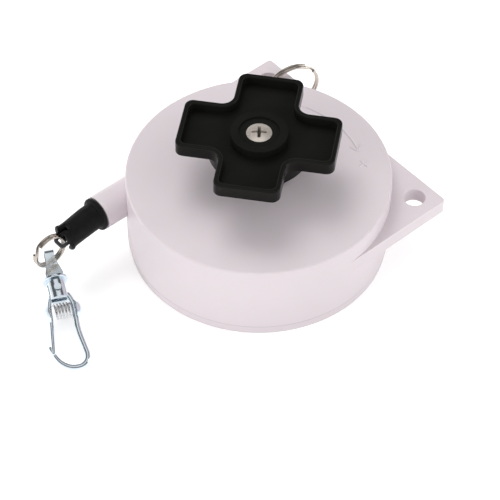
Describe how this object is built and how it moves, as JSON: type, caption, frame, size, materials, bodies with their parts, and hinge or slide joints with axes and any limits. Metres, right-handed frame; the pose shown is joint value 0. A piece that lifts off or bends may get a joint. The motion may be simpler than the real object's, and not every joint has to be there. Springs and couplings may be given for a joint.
{
  "type": "tool balancer",
  "caption": "Spring tool balancer: round plastic case with hanging ears, cross-shaped tension knob, rope drum, rubber stop, split rings and swivel snap hook.",
  "frame": {"origin": "centre of the back face, on the drum axis", "axes": "+Z along the drum axis, out of the back face towards the knob; +X from the drum axis to the hanging ears; the rope leaves towards -X on the side of +Y"},
  "size_m": [0.1602, 0.1, 0.0564],
  "materials": {
    "case_plastic": "satin",
    "cover_screw_steel": "zinc plated",
    "guide_plastic": "smooth",
    "bearing_plastic": "smooth",
    "clutch_steel": "turned",
    "spring_steel": "oiled",
    "knob_plastic": "gloss",
    "screw_nickel": "nickel plated",
    "drum_plastic": "moulded",
    "rope_cord": "braided",
    "crimp_metal": "crimped",
    "stop_rubber": "matte",
    "ring_nickel": "nickel plated",
    "hook_zinc": "bright zinc plated",
    "hook_spring": "bright"
  },
  "bodies": {
    "housing": {"front_shell": "case_plastic", "back_cover": "case_plastic", "cover_screws": "cover_screw_steel", "outlet_bush": "guide_plastic", "neck_bush": "bearing_plastic", "tooth_ring": "clutch_steel", "return_spring": "spring_steel"},
    "press_carrier": {"thrust_washer": "clutch_steel"},
    "knob": {"cross_knob": "knob_plastic", "knob_screw": "screw_nickel", "spindle": "clutch_steel", "clutch_ring": "clutch_steel", "clutch_pin": "clutch_steel"},
    "drum": {"rope_drum": "drum_plastic", "drum_bush": "bearing_plastic", "spring_cover": "clutch_steel", "power_spring": "spring_steel", "rope_anchor": "crimp_metal", "rope_winding": "rope_cord", "rope_last_turn": "rope_cord"},
    "rope_end": {"rubber_stop": "stop_rubber", "rope_run": "rope_cord", "rope_ferrule": "crimp_metal", "rope_loop": "rope_cord"},
    "hook_ring": {"hook_ring": "ring_nickel"},
    "swivel_eye": {"swivel_eye": "hook_zinc"},
    "hook": {"swivel_barrel": "hook_zinc", "hook_jaw": "hook_zinc", "lever_rivet": "hook_zinc", "lever_spring": "hook_spring"},
    "gate": {"hook_gate": "hook_zinc"},
    "hang_ring": {"hang_ring": "ring_nickel"}
  },
  "joints": [
    {"name": "knob_press", "type": "slide", "parent": "housing", "child": "press_carrier", "axis": [0, 0, -1], "range_m": [0, 0.003], "stiffness_N_per_m": 1500, "springref_m": -0.003, "deforming": ["return_spring"]},
    {"name": "knob_turn", "type": "hinge", "parent": "press_carrier", "child": "knob", "pos_m": [0, 0, 0.034], "axis": [0, 0, 1], "continuous": true},
    {"name": "drum_spin", "type": "hinge", "parent": "housing", "child": "drum", "pos_m": [0, 0, 0.015], "axis": [0, 0, 1], "range_deg": [0, 1800], "stiffness_Nm_per_rad": 0.005, "springref_deg": -2864.79, "deforming": ["power_spring", "rope_run"]},
    {"name": "rope_pull", "type": "slide", "parent": "housing", "child": "rope_end", "axis": [-1, 0, 0], "range_m": [0, 1]},
    {"name": "ring_swing", "type": "hinge", "parent": "rope_end", "child": "hook_ring", "pos_m": [-0.06866, 0.0318, 0.01949], "axis": [0, 1, 0], "range_deg": [-35, 35]},
    {"name": "eye_swing", "type": "hinge", "parent": "hook_ring", "child": "swivel_eye", "pos_m": [-0.07514, 0.0318, 0.01177], "axis": [-1, 0, 0], "range_deg": [-75, 42]},
    {"name": "hook_swivel", "type": "hinge", "parent": "swivel_eye", "child": "hook", "pos_m": [-0.07783, 0.02631, 0.01024], "axis": [0.4268, 0.8712, 0.2427], "continuous": true},
    {"name": "gate_open", "type": "hinge", "parent": "hook", "child": "gate", "pos_m": [-0.08039, 0.02108, 0.00879], "axis": [-0.1068, -0.218, 0.9701], "range_deg": [0, 15], "stiffness_Nm_per_rad": 0.15, "springref_deg": -8.59, "deforming": ["lever_spring"]},
    {"name": "hang_ring_swing", "type": "hinge", "parent": "housing", "child": "hang_ring", "pos_m": [0.04749, 0.03944, 0.02245], "axis": [-0.3256, -0.9455, 0], "range_deg": [-35, 127]}
  ],
  "couplings": [
    {"joint": "rope_pull", "follows": "drum_spin", "m_per_rad": 0.0318}
  ]
}
